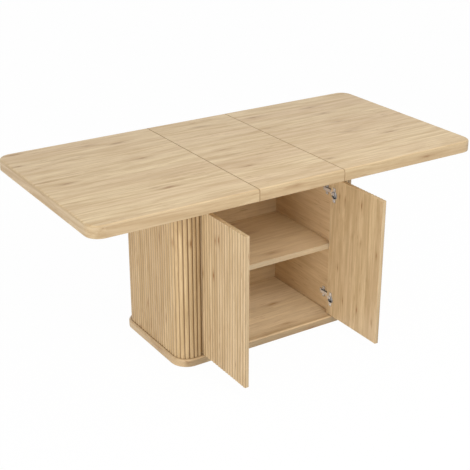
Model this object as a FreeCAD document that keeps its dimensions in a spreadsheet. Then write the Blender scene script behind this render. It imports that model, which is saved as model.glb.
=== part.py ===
import FreeCAD, Part
import Sketcher
import math
import os
import re

# Extending dining table on a fluted cabinet pedestal, in millimetres.
# Frame: X along the table, -Y towards the doors, +Z up, origin on the floor under the middle of the top.
# Rest pose: the table is extended with its leaf in, and both doors stand open.

# Driving dimensions
SIZES = {
    # Table top
    "top_length": 1700.0,
    "top_width": 850.0,
    "table_height": 760.0,
    "top_thickness": 46.0,
    "top_corner_radius": 55.0,
    "top_edge_radius": 10.0,
    "top_lower_bevel": 2.0,
    "leaf_width": 380.0,
    "seam_gap": 0.8,
    "seam_bevel": 1.0,
    # Pedestal
    "pedestal_length": 832.0,
    "pedestal_depth": 456.0,
    "pedestal_radius": 60.0,
    "plinth_overhang": 11.0,
    "plinth_thickness": 32.0,
    "plinth_edge_bevel": 6.0,
    "plinth_edge_ease": 2.0,
    "plinth_foot_bevel": 3.0,
    "board_thickness": 16.0,
    "cap_thickness": 18.0,
    "liner_thickness": 6.0,
    "panel_joint": 0.5,
    "glue_gap": 0.2,
    "carcass_top_overlap": 8.0,
    "apron_height": 29.0,
    # Fluting
    "flute_pitch": 17.5,
    "flute_depth": 2.2,
    "flute_groove": 2.0,
    "shell_skin": 13.8,
    # Doors
    "door_width": 318.0,
    "door_thickness": 17.0,
    "door_middle_gap": 3.0,
    "door_side_gap": 3.0,
    "door_end_gap": 3.0,
    "door_back_gap": 7.0,
    "door_open_angle": 90.0,
    # Cabinet inside
    "shelf_top_height": 350.0,
    "shelf_thickness": 22.0,
    "shelf_end_gap": 1.0,
    "shelf_pin_radius": 2.5,
    "shelf_pin_length": 15.0,
    "shelf_pin_depth": 8.0,
    "shelf_pin_inset": 50.0,
    "pin_hole_gap": 0.05,
    # Hinges
    "hinge_end_inset": 72.0,
    "hinge_pin_inset": 12.0,
    "hinge_pin_depth": 9.0,
    "hinge_pin_radius": 1.4,
    "hinge_eye_radius": 2.7,
    "hinge_running_gap": 0.05,
    "hinge_clearance": 0.6,
    "hinge_fit_gap": 0.1,
    "hinge_cup_radius": 17.5,
    "hinge_cup_inset": 22.5,
    "hinge_cup_depth": 11.5,
    "hinge_cup_wall": 2.0,
    "hinge_cup_floor": 0.6,
    "hinge_flange_length": 62.0,
    "hinge_flange_width": 17.0,
    "hinge_flange_thickness": 1.2,
    "hinge_arm_width": 14.0,
    "hinge_arm_height": 6.0,
    "hinge_arm_length": 76.0,
    "hinge_throat_offset": 1.5,
    "hinge_crank_clearance": 2.0,
    "hinge_plate_setback": 26.0,
    "hinge_plate_length": 48.0,
    "hinge_plate_width": 16.0,
    "hinge_plate_thickness": 2.0,
    "hinge_wing_length": 46.0,
    "hinge_wing_width": 14.0,
    # Slides
    "rail_length": 800.0,
    "rail_width": 44.0,
    "rail_height": 20.0,
    "rail_wall": 2.0,
    "rail_slot": 30.0,
    "rail_inset": 98.0,
    "rail_top_gap": 2.0,
    "runner_length": 400.0,
    "runner_inset": 5.0,
    "runner_clearance": 0.3,
    # Leaf supports
    "batten_end_gap": 8.0,
    "batten_width": 45.0,
    "batten_spacing": 220.0,
    "tongue_length": 90.0,
    "tongue_reach": 35.0,
    "tongue_width": 60.0,
    "tongue_thickness": 3.0,
    "tongue_drop": 0.4,
    "tongue_edge_inset": 95.0,
    # Overrun of cutting tools
    "overrun": 2.0,
}

# Two places closer than this are the same place
NEAR = 1e-3

# Shared places, worked out from the driving dimensions
UNDERSIDE = "( table_height - top_thickness )"
CAP_TOP = f"( {UNDERSIDE} - rail_height - rail_top_gap )"
CAP_BOTTOM = f"( {CAP_TOP} - cap_thickness )"
END_FACE = "( pedestal_length / 2 )"
FRONT_FACE = "( pedestal_depth / 2 )"
CORNER_X = f"( {END_FACE} - pedestal_radius )"
CORNER_Y = f"( {FRONT_FACE} - pedestal_radius )"
SHELL_THICKNESS = "( flute_depth + shell_skin )"
SKIN_INSIDE = f"( {FRONT_FACE} - {SHELL_THICKNESS} )"
DOOR_EDGE = "( door_middle_gap / 2 + door_width )"
DOOR_BOTTOM = "( plinth_thickness + door_end_gap )"
APRON_BOTTOM = f"( {CAP_BOTTOM} - apron_height )"
DOOR_TOP = f"( {APRON_BOTTOM} - door_end_gap )"
SHELL_EDGE = f"( {DOOR_EDGE} + door_side_gap )"
CARCASS_FRONT = f"( {FRONT_FACE} - door_thickness - door_back_gap )"
SIDE_OUTSIDE = f"( {SHELL_EDGE} + board_thickness )"
LINER_FRONT = f"( {SKIN_INSIDE} - liner_thickness )"
SHELF_BOTTOM = "( shelf_top_height - shelf_thickness )"
PIN_X = f"( {DOOR_EDGE} - hinge_pin_inset )"
PIN_Y = f"( {FRONT_FACE} - hinge_pin_depth )"
RAIL_Y = f"( {FRONT_FACE} - rail_inset )"
HINGE_HEIGHTS = {
    "lower": f"( {DOOR_BOTTOM} + hinge_end_inset )",
    "upper": f"( {DOOR_TOP} - hinge_end_inset )",
}

# Places in the door's own frame, whose Z axis is the hinge pin of the closed right door
EDGE_X = "hinge_pin_inset"
INNER_Y = "( door_thickness - hinge_pin_depth )"
CUP_X = "( hinge_pin_inset - hinge_cup_inset )"
CUP_BOTTOM = f"( {INNER_Y} - hinge_cup_depth )"
RIM_TOP = f"( {INNER_Y} + hinge_flange_thickness )"

doc = FreeCAD.newDocument("ExtendingTable")
sheet = doc.addObject("Spreadsheet::Sheet", "Sizes")
for row, (alias, number) in enumerate(SIZES.items(), start=1):
    sheet.set(f"A{row}", alias)
    sheet.set(f"B{row}", str(number))
    sheet.setAlias(f"B{row}", alias)
doc.recompute()

nodes = []


def value(formula):
    """Work a formula out from the sheet's present values."""
    result = sheet.evalExpression(formula)
    return float(getattr(result, "Value", result))


def bind(item, prop, formula):
    """Bind a property to a formula of the sheet's aliases."""
    item.setExpression(prop, re.sub(r"[a-z_]+", lambda word: f"Sizes.{word[0]}" if word[0] in SIZES else word[0],
                                    formula))


def keep(item, label):
    """Name a finished sub-part and list it for export."""
    item.Label = label
    nodes.append(item)
    return item


def place(item, x="0", y="0", z="0"):
    """Put an object at bound coordinates."""
    for axis, formula in zip("xyz", (x, y, z)):
        bind(item, f"Placement.Base.{axis}", formula)
    return item


def box(name, x, y, z):
    """Make a block between three pairs of formulas."""
    item = doc.addObject("Part::Box", name)
    for prop, (low, high) in zip(("Length", "Width", "Height"), (x, y, z)):
        bind(item, prop, f"( {high} ) - ( {low} )")
    return place(item, x[0], y[0], z[0])


def rod(name, radius, length, axis, x, y, z):
    """Make a cylinder that starts at bound coordinates and runs along an axis."""
    item = doc.addObject("Part::Cylinder", name)
    bind(item, "Radius", radius)
    bind(item, "Height", length)
    turn = FreeCAD.Rotation(FreeCAD.Vector(0, 0, 1), FreeCAD.Vector(*axis))
    item.Placement = FreeCAD.Placement(FreeCAD.Vector(), turn)
    return place(item, x, y, z)


def fuse(name, items):
    """Join several objects into one solid."""
    item = doc.addObject("Part::MultiFuse", name)
    item.Shapes = items
    item.Refine = True
    return item


def group(name, items):
    """Gather separate solids into one object."""
    item = doc.addObject("Part::Compound", name)
    item.Links = items
    return item


def cut(name, base, tools):
    """Take tools away from a base."""
    item = doc.addObject("Part::Cut", name)
    item.Base = base
    item.Tool = tools[0] if len(tools) == 1 else fuse(f"{name}Tools", tools)
    item.Refine = True
    return item


def mirror(source, label, normal=(1, 0, 0)):
    """Keep the mirror image of a finished sub-part across a middle plane of the table."""
    item = doc.addObject("Part::Mirroring", label)
    item.Source = source
    item.Normal = FreeCAD.Vector(*normal)
    return keep(item, label)


def new_sketch(body, name, role):
    """Add a sketch on one of the body's own origin planes."""
    sketch = body.newObject("Sketcher::SketchObject", name)
    plane = next(item for item in body.Origin.OriginFeatures if item.Role == role)
    sketch.AttachmentSupport = [(plane, "")]
    sketch.MapMode = "FlatFace"
    return sketch


def polygon(body, name, role, points):
    """Draw a closed outline whose corners are bound to pairs of formulas."""
    sketch = new_sketch(body, name, role)
    corners = [FreeCAD.Vector(value(across), value(along), 0) for across, along in points]
    count = len(corners)
    for index, corner in enumerate(corners):
        sketch.addGeometry(Part.LineSegment(corner, corners[(index + 1) % count]), False)
    for index in range(count):
        sketch.addConstraint(Sketcher.Constraint("Coincident", index, 2, (index + 1) % count, 1))
    for index, (corner, formulas) in enumerate(zip(corners, points)):
        for kind, distance, formula in zip(("DistanceX", "DistanceY"), (corner.x, corner.y), formulas):
            number = sketch.addConstraint(Sketcher.Constraint(kind, -1, 1, index, 1, distance))
            bind(sketch, f"Constraints[{number}]", formula)
    return sketch


def pad(body, sketch, length, middle=False):
    """Raise a sketch into a solid of bound length."""
    feature = body.newObject("PartDesign::Pad", f"{body.Name}Pad")
    feature.Profile = sketch
    bind(feature, "Length", length)
    feature.Midplane = middle
    return feature


def soften(body, test, radius, kind="PartDesign::Fillet", prop="Radius"):
    """Round or bevel the edges of a body that pass a test."""
    doc.recompute()
    base = body.Tip
    names = [f"Edge{number}" for number, edge in enumerate(base.Shape.Edges, start=1) if test(edge)]
    feature = body.newObject(kind, f"{body.Name}Edge")
    feature.Base = (base, names)
    bind(feature, prop, radius)
    return feature


def bevel(body, test, width):
    """Bevel the edges of a body that pass a test."""
    return soften(body, test, width, "PartDesign::Chamfer", "Size")


def upright(edge):
    """Tell whether an edge is vertical."""
    bounds = edge.BoundBox
    return bounds.ZLength > NEAR and bounds.XLength < NEAR and bounds.YLength < NEAR


def level(edge, height):
    """Tell whether an edge lies at one height."""
    bounds = edge.BoundBox
    return abs(bounds.ZMin - height) < NEAR and abs(bounds.ZMax - height) < NEAR


def plate(name, x, y, thickness, radius, corner_test=upright):
    """Make a flat board with rounded corners, its lower face at height zero."""
    body = doc.addObject("PartDesign::Body", name)
    points = [(x[0], y[0]), (x[1], y[0]), (x[1], y[1]), (x[0], y[1])]
    pad(body, polygon(body, f"{name}Outline", "XY_Plane", points), thickness)
    soften(body, corner_test, radius)
    return body


# Fluting: half-round ribs that stand on the floor of narrow grooves

def rib(start, crest, end):
    """Return the round face of one rib through three points."""
    return Part.ArcOfCircle(start, crest, end)


def straight_ribs(start, end, outward):
    """Return the ribs along a straight crest line, from start to end."""
    run = end - start
    length = run.Length
    count = max(1, round(length / value("flute_pitch")))
    side = value("flute_groove / 2")
    floor = outward * -value("flute_depth")
    along = FreeCAD.Vector(run).normalize()
    ribs = []
    for index in range(count):
        low = start + along * (length * index / count + side) + floor
        high = start + along * (length * (index + 1) / count - side) + floor
        crest = start + along * (length * (index + 0.5) / count)
        ribs.append(rib(low, crest, high))
    return ribs


def corner_ribs(centre, first_angle):
    """Return the ribs round a quarter turn of the crest line."""
    radius = value("pedestal_radius")
    floor = value("pedestal_radius - flute_depth")
    quarter = math.pi / 2
    count = max(1, round(radius * quarter / value("flute_pitch")))
    side = value("flute_groove / 2") / floor

    def point(reach, angle):
        return centre + FreeCAD.Vector(reach * math.cos(angle), reach * math.sin(angle), 0)

    ribs = []
    for index in range(count):
        low = first_angle + quarter * index / count
        high = first_angle + quarter * (index + 1) / count
        ribs.append(rib(point(floor, low + side), point(radius, (low + high) / 2), point(floor, high - side)))
    return ribs


def fluted_outline(body, name, ribs, first, last, back):
    """Draw a closed section: ribs joined by groove floors, from first to last, then the back edges."""
    sketch = new_sketch(body, name, "XY_Plane")
    edges = []
    here = first
    for arc in ribs:
        edges.append(Part.LineSegment(here, arc.StartPoint))
        edges.append(arc)
        here = arc.EndPoint
    edges.append(Part.LineSegment(here, last))
    sketch.addGeometry(edges + back, False)
    return sketch


def fluted_board(name, left, right, front, thickness, height):
    """Make an upright board with ribs on its -Y face."""
    body = doc.addObject("PartDesign::Body", name)
    low, high, crest = value(left), value(right), value(front)
    floor = value(f"{front} + flute_depth")
    rear = value(f"{front} + {thickness}")
    ribs = straight_ribs(FreeCAD.Vector(low, crest, 0), FreeCAD.Vector(high, crest, 0), FreeCAD.Vector(0, -1, 0))
    corners = [FreeCAD.Vector(*pair, 0) for pair in ((high, floor), (high, rear), (low, rear), (low, floor))]
    back = [Part.LineSegment(here, there) for here, there in zip(corners, corners[1:])]
    sketch = fluted_outline(body, f"{name}Section", ribs, corners[-1], corners[0], back)
    pad(body, sketch, height)
    return body


def fluted_shell(name):
    """Make the right end shell: two returns, two rounded corners and the end face."""
    body = doc.addObject("PartDesign::Body", name)
    edge, corner_x, corner_y = value(SHELL_EDGE), value(CORNER_X), value(CORNER_Y)
    end, front = value(END_FACE), value(FRONT_FACE)
    floor = value(f"{FRONT_FACE} - flute_depth")
    inside = value(SKIN_INSIDE)
    reach = value(f"pedestal_radius - {SHELL_THICKNESS}")
    near = FreeCAD.Vector(corner_x, -corner_y, 0)
    far = FreeCAD.Vector(corner_x, corner_y, 0)
    ribs = straight_ribs(FreeCAD.Vector(edge, -front, 0), FreeCAD.Vector(corner_x, -front, 0),
                         FreeCAD.Vector(0, -1, 0))
    ribs += corner_ribs(near, -math.pi / 2)
    ribs += straight_ribs(FreeCAD.Vector(end, -corner_y, 0), FreeCAD.Vector(end, corner_y, 0),
                          FreeCAD.Vector(1, 0, 0))
    ribs += corner_ribs(far, 0)
    ribs += straight_ribs(FreeCAD.Vector(corner_x, front, 0), FreeCAD.Vector(edge, front, 0),
                          FreeCAD.Vector(0, 1, 0))
    up = FreeCAD.Vector(0, 0, 1)
    back = [
        Part.LineSegment(FreeCAD.Vector(edge, floor, 0), FreeCAD.Vector(edge, inside, 0)),
        Part.LineSegment(FreeCAD.Vector(edge, inside, 0), FreeCAD.Vector(corner_x, inside, 0)),
        Part.ArcOfCircle(Part.Circle(far, up, reach), 0, math.pi / 2),
        Part.LineSegment(far + FreeCAD.Vector(reach, 0, 0), near + FreeCAD.Vector(reach, 0, 0)),
        Part.ArcOfCircle(Part.Circle(near, up, reach), -math.pi / 2, 0),
        Part.LineSegment(FreeCAD.Vector(corner_x, -inside, 0), FreeCAD.Vector(edge, -inside, 0)),
        Part.LineSegment(FreeCAD.Vector(edge, -inside, 0), FreeCAD.Vector(edge, -floor, 0)),
    ]
    sketch = fluted_outline(body, f"{name}Section", ribs, FreeCAD.Vector(edge, -floor, 0),
                            FreeCAD.Vector(edge, floor, 0), back)
    pad(body, sketch, f"{CAP_BOTTOM} - plinth_thickness")
    return place(body, z="plinth_thickness")


# Table top

def rounded_profile(body, keep_edge):
    """Round the upper and lower outer edges of a piece of the top."""
    top = value("top_thickness")
    soften(body, lambda edge: level(edge, top) and keep_edge(edge), "top_edge_radius")
    bevel(body, lambda edge: level(edge, 0) and keep_edge(edge), "top_lower_bevel")


def table_top():
    """Make the two halves and the leaf between them."""
    inner = "( leaf_width / 2 + seam_gap )"
    seam = value(inner)

    def outside(edge):
        return edge.BoundBox.XMax > seam + NEAR

    half = plate("TopHalf", (inner, "top_length / 2"), ("-top_width / 2", "top_width / 2"),
                 "top_thickness", "top_corner_radius", lambda edge: upright(edge) and outside(edge))
    rounded_profile(half, outside)
    top = value("top_thickness")
    bevel(half, lambda edge: level(edge, top) and not outside(edge), "seam_bevel")
    keep(place(half, z=UNDERSIDE), "top_right")
    mirror(half, "top_left")

    leaf = doc.addObject("PartDesign::Body", "Leaf")
    side = "( leaf_width / 2 )"
    corners = [(f"-{side}", "-top_width / 2"), (side, "-top_width / 2"),
               (side, "top_width / 2"), (f"-{side}", "top_width / 2")]
    pad(leaf, polygon(leaf, "LeafOutline", "XY_Plane", corners), "top_thickness")
    rounded_profile(leaf, lambda edge: edge.BoundBox.YLength < NEAR)
    bevel(leaf, lambda edge: level(edge, top) and edge.BoundBox.XLength < NEAR, "seam_bevel")
    keep(place(leaf, z=UNDERSIDE), "leaf")


def leaf_supports():
    """Make the battens under the leaf and the steel tongues under the halves."""
    middle = "batten_spacing / 2"
    end = f"( {RAIL_Y} - rail_width / 2 - batten_end_gap )"
    batten = box("Batten", (f"{middle} - batten_width / 2", f"{middle} + batten_width / 2"),
                 (f"-{end}", end), (CAP_TOP, UNDERSIDE))
    keep(batten, "right_leaf_batten")
    mirror(batten, "left_leaf_batten")

    tongue = doc.addObject("PartDesign::Body", "Tongue")
    seam = "( leaf_width / 2 )"
    tip = f"( {seam} - tongue_reach )"
    bend = f"( {seam} + tongue_thickness )"
    low = "( tongue_thickness + tongue_drop )"
    profile = [(tip, f"-{low}"), (bend, f"-{low}"), (f"{bend} + tongue_drop", "-tongue_thickness"),
               (f"{tip} + tongue_length", "-tongue_thickness"), (f"{tip} + tongue_length", "0"),
               (f"{bend} + tongue_drop", "0"), (bend, "-tongue_drop"), (tip, "-tongue_drop")]
    pad(tongue, polygon(tongue, "TongueProfile", "XZ_Plane", profile), "tongue_width", middle=True)
    place(tongue, y="tongue_edge_inset - top_width / 2", z=UNDERSIDE)
    keep(tongue, "right_front_tongue")
    mirror(tongue, "left_front_tongue")
    rear = mirror(tongue, "right_back_tongue", (0, 1, 0))
    mirror(rear, "left_back_tongue")


def slides():
    """Make the fixed channel rails and the runners under the two halves."""
    rail = doc.addObject("PartDesign::Body", "Rail")
    out, wall = "( rail_width / 2 )", "rail_wall"
    slot, lip = "( rail_slot / 2 )", "( rail_height - rail_wall )"
    profile = [(f"-{out}", "0"), (out, "0"), (out, "rail_height"), (slot, "rail_height"), (slot, lip),
               (f"{out} - {wall}", lip), (f"{out} - {wall}", wall), (f"{wall} - {out}", wall),
               (f"{wall} - {out}", lip), (f"-{slot}", lip), (f"-{slot}", "rail_height"),
               (f"-{out}", "rail_height")]
    pad(rail, polygon(rail, "RailSection", "YZ_Plane", profile), "rail_length", middle=True)
    keep(place(rail, y=f"-{RAIL_Y}", z=CAP_TOP), "front_rail")
    mirror(rail, "back_rail", (0, 1, 0))

    runner = doc.addObject("PartDesign::Body", "Runner")
    wide = "( rail_width / 2 - rail_wall - runner_clearance )"
    neck = "( rail_slot / 2 - runner_clearance )"
    low = "( rail_wall + runner_clearance )"
    shoulder = "( rail_height - rail_wall - runner_clearance )"
    high = "( rail_height + rail_top_gap )"
    profile = [(f"-{wide}", low), (wide, low), (wide, shoulder), (neck, shoulder), (neck, high),
               (f"-{neck}", high), (f"-{neck}", shoulder), (f"-{wide}", shoulder)]
    pad(runner, polygon(runner, "RunnerSection", "YZ_Plane", profile), "runner_length")
    place(runner, "leaf_width / 2 + runner_inset", f"-{RAIL_Y}", CAP_TOP)
    keep(runner, "right_front_runner")
    mirror(runner, "left_front_runner")
    rear = mirror(runner, "right_back_runner", (0, 1, 0))
    mirror(rear, "left_back_runner")


# Pedestal

def boards():
    """Make the plinth and the cap, which close the pedestal below and above."""
    length = f"( {END_FACE} + plinth_overhang )"
    depth = f"( {FRONT_FACE} + plinth_overhang )"
    plinth = plate("Plinth", (f"-{length}", length), (f"-{depth}", depth), "plinth_thickness",
                   "pedestal_radius + plinth_overhang")
    high, low = value("plinth_thickness"), value("plinth_thickness - plinth_edge_bevel")
    bevel(plinth, lambda edge: level(edge, high), "plinth_edge_bevel")
    bevel(plinth, lambda edge: level(edge, high) or level(edge, low), "plinth_edge_ease")
    bevel(plinth, lambda edge: level(edge, 0), "plinth_foot_bevel")
    keep(plinth, "plinth")

    cap = plate("Cap", (f"-{END_FACE}", END_FACE), (f"-{FRONT_FACE}", FRONT_FACE), "cap_thickness",
                "pedestal_radius")
    keep(place(cap, z=CAP_BOTTOM), "cap_board")


def skins():
    """Make the fluted outside of the pedestal."""
    shell = keep(fluted_shell("Shell"), "right_fluted_shell")
    mirror(shell, "left_fluted_shell")
    side = f"( {SHELL_EDGE} - panel_joint )"
    rear = fluted_board("BackPanel", f"-{side}", side, "0", SHELL_THICKNESS, f"{CAP_BOTTOM} - plinth_thickness")
    rear.Placement.Rotation = FreeCAD.Rotation(FreeCAD.Vector(0, 0, 1), 180)
    keep(place(rear, y=FRONT_FACE, z="plinth_thickness"), "fluted_back_panel")
    keep(box("Apron", (f"-{side}", side), (f"-{FRONT_FACE}", f"-{SKIN_INSIDE}"),
             (APRON_BOTTOM, CAP_BOTTOM)), "door_apron")


def formers():
    """Make the boards inside the end shells, to which the bent skins are glued."""
    outer = f"( {END_FACE} - {SHELL_THICKNESS} - glue_gap )"
    side = f"( {SKIN_INSIDE} - glue_gap )"
    inner = value(SIDE_OUTSIDE)
    heights = {
        "lower": "plinth_thickness",
        "upper": f"{CAP_BOTTOM} - board_thickness",
    }
    for level_name, height in heights.items():
        former = plate(f"Former{level_name}", (SIDE_OUTSIDE, outer), (f"-{side}", side), "board_thickness",
                       f"pedestal_radius - {SHELL_THICKNESS} - glue_gap",
                       lambda edge: upright(edge) and edge.BoundBox.XMin > inner + NEAR)
        keep(place(former, z=height), f"right_{level_name}_former")
        mirror(former, f"left_{level_name}_former")


def cabinet():
    """Make the box inside the pedestal and its shelf."""
    panel = box("SideBoard", (SHELL_EDGE, SIDE_OUTSIDE), (f"-{SKIN_INSIDE}", SKIN_INSIDE),
                ("plinth_thickness", CAP_BOTTOM))
    pin_rows = (f"shelf_pin_inset - {CARCASS_FRONT}", f"{LINER_FRONT} - shelf_pin_inset")
    pin_height = f"( {SHELF_BOTTOM} - shelf_pin_radius )"
    holes = [rod(f"PinHole{row}", "shelf_pin_radius + pin_hole_gap", "shelf_pin_depth + overrun", (1, 0, 0),
                 f"{SHELL_EDGE} - overrun", across, pin_height) for row, across in enumerate(pin_rows)]
    panel = keep(cut("SidePanel", panel, holes), "right_side_panel")
    mirror(panel, "left_side_panel")

    width = (f"-{SHELL_EDGE}", SHELL_EDGE)
    keep(box("Liner", width, (LINER_FRONT, SKIN_INSIDE), ("plinth_thickness", CAP_BOTTOM)), "cabinet_back")
    lid = f"( {DOOR_TOP} - carcass_top_overlap )"
    keep(box("LidPanel", width, (f"-{CARCASS_FRONT}", LINER_FRONT), (lid, f"{lid} + board_thickness")),
         "cabinet_top")
    side = f"( {SHELL_EDGE} - shelf_end_gap )"
    keep(box("Shelf", (f"-{side}", side), (f"shelf_end_gap - {CARCASS_FRONT}", f"{LINER_FRONT} - shelf_end_gap"),
             (SHELF_BOTTOM, "shelf_top_height")), "shelf")

    pins = [rod(f"ShelfPin{row}", "shelf_pin_radius", "shelf_pin_length", (1, 0, 0),
                f"{SHELL_EDGE} + shelf_pin_depth - shelf_pin_length", across, pin_height)
            for row, across in enumerate(pin_rows)]
    pair = keep(group("ShelfPinPair", pins), "right_shelf_pins")
    mirror(pair, "left_shelf_pins")


# Doors and hinges, made in the frame of the hinge pin and swung open together

def swing(item):
    """Hang an object of the door's frame on the right hinge pin, at the rest angle."""
    place(item, PIN_X, f"-{PIN_Y}")
    bind(item, "Placement.Rotation.Angle", "door_open_angle")
    return item


def door():
    """Make the right door with its cup holes and the slots that let the hinge arms through."""
    slab = fluted_board("DoorSlab", f"{EDGE_X} - door_width", EDGE_X, "-hinge_pin_depth", "door_thickness",
                        f"{DOOR_TOP} - {DOOR_BOTTOM}")
    place(slab, z=DOOR_BOTTOM)
    reach = "( hinge_cup_depth + hinge_fit_gap )"
    half = "( hinge_arm_width / 2 + hinge_clearance )"
    tools = []
    for level_name, height in HINGE_HEIGHTS.items():
        tools.append(rod(f"CupHole{level_name}", "hinge_cup_radius + hinge_fit_gap", f"{reach} + overrun",
                         (0, -1, 0), CUP_X, f"{INNER_Y} + overrun", height))
        tools.append(box(f"ArmSlot{level_name}", (CUP_X, f"{EDGE_X} + overrun"),
                         (f"{INNER_Y} - {reach}", f"{INNER_Y} + overrun"),
                         (f"{height} - {half}", f"{height} + {half}")))
    leaf = swing(cut("DoorCut", slab, tools))
    keep(leaf, "right_door")
    mirror(leaf, "left_door")


def hinge_cup(level_name, height):
    """Make a cup with its flange, open on the side where the arm swings through."""
    cup = doc.addObject("PartDesign::Body", f"Cup{level_name}")
    bore = "( hinge_cup_radius - hinge_cup_wall )"
    profile = [("0", CUP_BOTTOM), ("hinge_cup_radius", CUP_BOTTOM), ("hinge_cup_radius", RIM_TOP),
               (bore, RIM_TOP), (bore, f"{CUP_BOTTOM} + hinge_cup_floor"), ("0", f"{CUP_BOTTOM} + hinge_cup_floor")]
    sketch = polygon(cup, f"CupProfile{level_name}", "XY_Plane", profile)
    turn = cup.newObject("PartDesign::Revolution", f"CupTurn{level_name}")
    turn.Profile = sketch
    turn.ReferenceAxis = (sketch, ["V_Axis"])
    place(cup, CUP_X, "0", height)
    flange = box(f"Flange{level_name}", (f"{CUP_X} - hinge_flange_width / 2", f"{CUP_X} + hinge_flange_width / 2"),
                 (INNER_Y, RIM_TOP),
                 (f"{height} - hinge_flange_length / 2", f"{height} + hinge_flange_length / 2"))
    hollow = rod(f"CupHollow{level_name}", bore, "hinge_flange_thickness + overrun", (0, 1, 0), CUP_X, INNER_Y,
                 height)
    half = "( hinge_arm_width / 2 + hinge_clearance )"
    window = box(f"CupWindow{level_name}", ("0", f"{EDGE_X} + overrun"),
                 (f"{CUP_BOTTOM} + hinge_cup_floor", f"{RIM_TOP} + overrun"),
                 (f"{height} - {half}", f"{height} + {half}"))
    side = "( hinge_pin_radius + pin_hole_gap )"
    hole = box(f"CupPinHole{level_name}", (f"-{side}", side), (f"-{side}", side),
               (f"{height} - hinge_cup_radius", f"{height} + hinge_cup_radius"))
    return cut(f"HingeCup{level_name}", fuse(f"CupJoined{level_name}", [cup, flange]), [hollow, window, hole])


def hinge_pin(level_name, height):
    """Make the pin, whose ends lie in the wall of the cup."""
    pin = doc.addObject("Part::Cylinder", f"HingePin{level_name}")
    bind(pin, "Radius", "hinge_pin_radius")
    half = "sqrt(hinge_cup_radius ^ 2 - ( hinge_cup_inset - hinge_pin_inset + hinge_pin_radius ) ^ 2)"
    bind(pin, "Height", f"2 * {half}")
    return place(pin, z=f"{height} - {half}")


def hinge_arm(level_name, height):
    """Make the fixed arm, whose eye turns round the pin and whose crank clears the turning door."""
    arm = doc.addObject("PartDesign::Body", f"Arm{level_name}")
    sketch = new_sketch(arm, f"ArmOutline{level_name}", "XY_Plane")
    eye = value("hinge_eye_radius")
    throat = value("hinge_throat_offset")
    outer = value(f"{SHELL_EDGE} - hinge_plate_thickness - {PIN_X}")
    inner = outer - value("hinge_arm_height")
    end = value("hinge_arm_length")
    clearance = value("hinge_crank_clearance")
    crank = math.hypot(value("hinge_pin_inset"), value("hinge_pin_depth")) + clearance
    back = crank + clearance
    join = math.acos(throat / eye)
    outline = [(throat, eye * math.sin(join)), (throat, crank), (outer, crank + outer - throat), (outer, end),
               (inner, end), (inner, back + inner + eye), (-eye, back), (-eye, 0)]
    corners = [FreeCAD.Vector(across, along, 0) for across, along in outline]
    edges = [Part.LineSegment(here, there) for here, there in zip(corners, corners[1:])]
    ring = Part.Circle(FreeCAD.Vector(), FreeCAD.Vector(0, 0, 1), eye)
    edges.append(Part.ArcOfCircle(ring, -math.pi, join))
    sketch.addGeometry(edges, False)
    pad(arm, sketch, "hinge_arm_width", middle=True)
    place(arm, PIN_X, f"-{PIN_Y}", height)
    bore = rod(f"EyeBore{level_name}", "hinge_pin_radius + hinge_running_gap", "hinge_arm_width + overrun * 2",
               (0, 0, 1), PIN_X, f"-{PIN_Y}", f"{height} - hinge_arm_width / 2 - overrun")
    body = keep(cut(f"HingeArm{level_name}", arm, [bore]), f"right_{level_name}_hinge_arm")
    mirror(body, f"left_{level_name}_hinge_arm")


def hinge_plate(level_name, height):
    """Make the cross-shaped mounting plate on the side panel."""
    body = doc.addObject("PartDesign::Body", f"MountPlate{level_name}")
    long, wide = "hinge_plate_length", "( hinge_plate_width / 2 )"
    tall, arm = "( hinge_wing_length / 2 )", "( hinge_wing_width / 2 )"
    low, high = f"( {long} / 2 - {arm} )", f"( {long} / 2 + {arm} )"
    outline = [("0", f"-{wide}"), (low, f"-{wide}"), (low, f"-{tall}"), (high, f"-{tall}"), (high, f"-{wide}"),
               (long, f"-{wide}"), (long, wide), (high, wide), (high, tall), (low, tall), (low, wide), ("0", wide)]
    pad(body, polygon(body, f"PlateOutline{level_name}", "YZ_Plane", outline), "hinge_plate_thickness")
    place(body, f"{SHELL_EDGE} - hinge_plate_thickness", f"hinge_plate_setback - {CARCASS_FRONT}", height)
    keep(body, f"right_{level_name}_hinge_plate")
    mirror(body, f"left_{level_name}_hinge_plate")


def hinges():
    """Make the concealed hinges, two on each door."""
    cups = [hinge_cup(level_name, height) for level_name, height in HINGE_HEIGHTS.items()]
    pins = [hinge_pin(level_name, height) for level_name, height in HINGE_HEIGHTS.items()]
    for name, items in (("hinge_cups", cups), ("hinge_pins", pins)):
        pair = keep(swing(group(f"Pair_{name}", items)), f"right_{name}")
        mirror(pair, f"left_{name}")
    for level_name, height in HINGE_HEIGHTS.items():
        hinge_arm(level_name, height)
        hinge_plate(level_name, height)


def check_and_export():
    """Stop on any failed object, then write one file for each sub-part."""
    doc.recompute()
    for item in doc.Objects:
        if "Invalid" in item.State or "Error" in item.State:
            raise RuntimeError(f"{item.Label} failed: {item.State}")
    for item in nodes:
        if item.Shape.isNull() or not item.Shape.isValid() or item.Shape.Volume <= 0:
            raise RuntimeError(f"{item.Label} has no sound shape")
    os.makedirs("parts", exist_ok=True)
    for item in nodes:
        item.Shape.exportStep(os.path.join("parts", f"{item.Label}.step"))
        print(f"{item.Label}: {item.Shape.Volume:.0f} mm3, {len(item.Shape.Solids)} solid(s)")


table_top()
leaf_supports()
slides()
boards()
skins()
formers()
cabinet()
door()
hinges()
check_and_export()
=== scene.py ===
"""Looks of the extending oak dining table: finishes, small fittings, camera, light and floor."""

import logging
import math
from dataclasses import dataclass, field
from enum import Enum
from typing import ClassVar

import bmesh
import bpy
from mathutils import Matrix, Vector

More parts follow.
